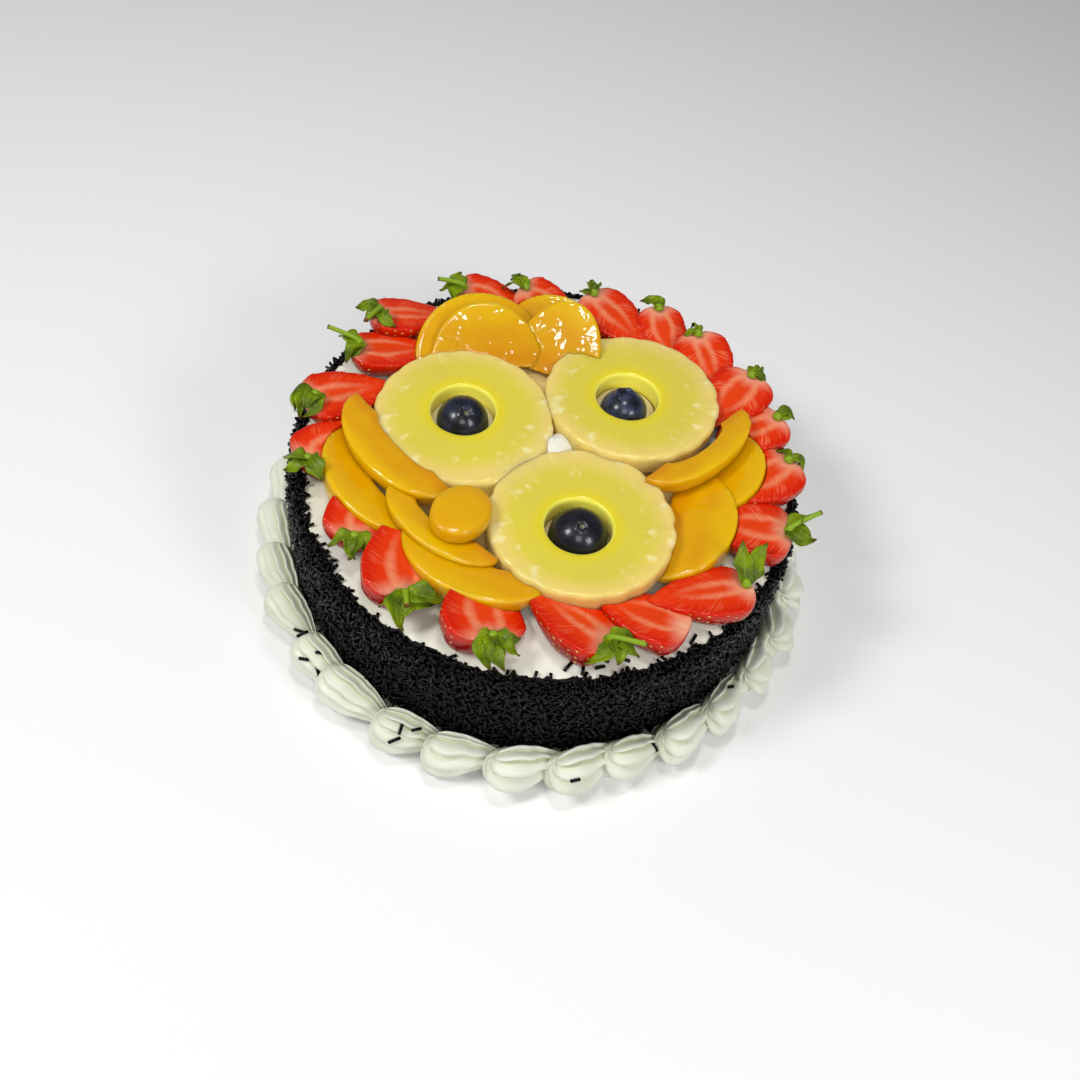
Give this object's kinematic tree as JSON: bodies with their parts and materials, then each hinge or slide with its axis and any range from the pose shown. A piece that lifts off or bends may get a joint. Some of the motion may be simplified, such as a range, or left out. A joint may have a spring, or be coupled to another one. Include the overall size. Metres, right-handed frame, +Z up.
{
  "type": "exotic fruit cake",
  "caption": "Round cream cake with a chocolate-sprinkled side, piped shell border and a top of halved strawberries, peach slices, pineapple rings and blueberries.",
  "frame": {"origin": "middle of the cake's base, on the surface that it rests on", "axes": "+Z up from the base to the fruit, +Y away from the picture's camera, +X to its right"},
  "size_m": [0.2469, 0.2463, 0.0835],
  "materials": {
    "chocolate_sprinkled_cream": "matt whipped cream, black chocolate sprinkles all round the side",
    "piped_cream": "soft matt piped cream",
    "pineapple": "wet, translucent",
    "blueberry": "dark skin with a bluish bloom, glazed",
    "peach": "wet, glazed",
    "strawberry": "glazed cut face, dark red seeded skin",
    "strawberry_leaf": "soft green leaf"
  },
  "bodies": {
    "root": {"blueberry_back": "blueberry", "blueberry_front": "blueberry", "blueberry_left": "blueberry", "cake_body": "chocolate_sprinkled_cream", "peach_disc": "peach", "peach_slice_01": "peach", "peach_slice_02": "peach", "peach_slice_03": "peach", "peach_slice_04": "peach", "peach_slice_06": "peach", "peach_slice_07": "peach", "peach_slice_08": "peach", "peach_slice_09": "peach", "peach_slice_10": "peach", "peach_slice_11": "peach", "peach_slice_12": "peach", "pineapple_ring_back": "pineapple", "pineapple_ring_front": "pineapple", "pineapple_ring_left": "pineapple", "piped_border": "piped_cream", "strawberry_01": "strawberry", "strawberry_02": "strawberry", "strawberry_03": "strawberry", "strawberry_04": "strawberry", "strawberry_05": "strawberry", "strawberry_06": "strawberry", "strawberry_07": "strawberry", "strawberry_08": "strawberry", "strawberry_09": "strawberry", "strawberry_10": "strawberry", "strawberry_11": "strawberry", "strawberry_12": "strawberry", "strawberry_13": "strawberry", "strawberry_14": "strawberry", "strawberry_15": "strawberry", "strawberry_16": "strawberry", "strawberry_17": "strawberry", "strawberry_18": "strawberry", "strawberry_19": "strawberry", "strawberry_leaves_01": "strawberry_leaf", "strawberry_leaves_02": "strawberry_leaf", "strawberry_leaves_03": "strawberry_leaf", "strawberry_leaves_04": "strawberry_leaf", "strawberry_leaves_05": "strawberry_leaf", "strawberry_leaves_06": "strawberry_leaf", "strawberry_leaves_07": "strawberry_leaf", "strawberry_leaves_08": "strawberry_leaf", "strawberry_leaves_09": "strawberry_leaf", "strawberry_leaves_10": "strawberry_leaf", "strawberry_leaves_11": "strawberry_leaf", "strawberry_leaves_12": "strawberry_leaf", "strawberry_leaves_13": "strawberry_leaf", "strawberry_leaves_14": "strawberry_leaf", "strawberry_leaves_16": "strawberry_leaf", "strawberry_leaves_17": "strawberry_leaf", "strawberry_leaves_18": "strawberry_leaf", "strawberry_leaves_19": "strawberry_leaf"}
  },
  "joints": []
}
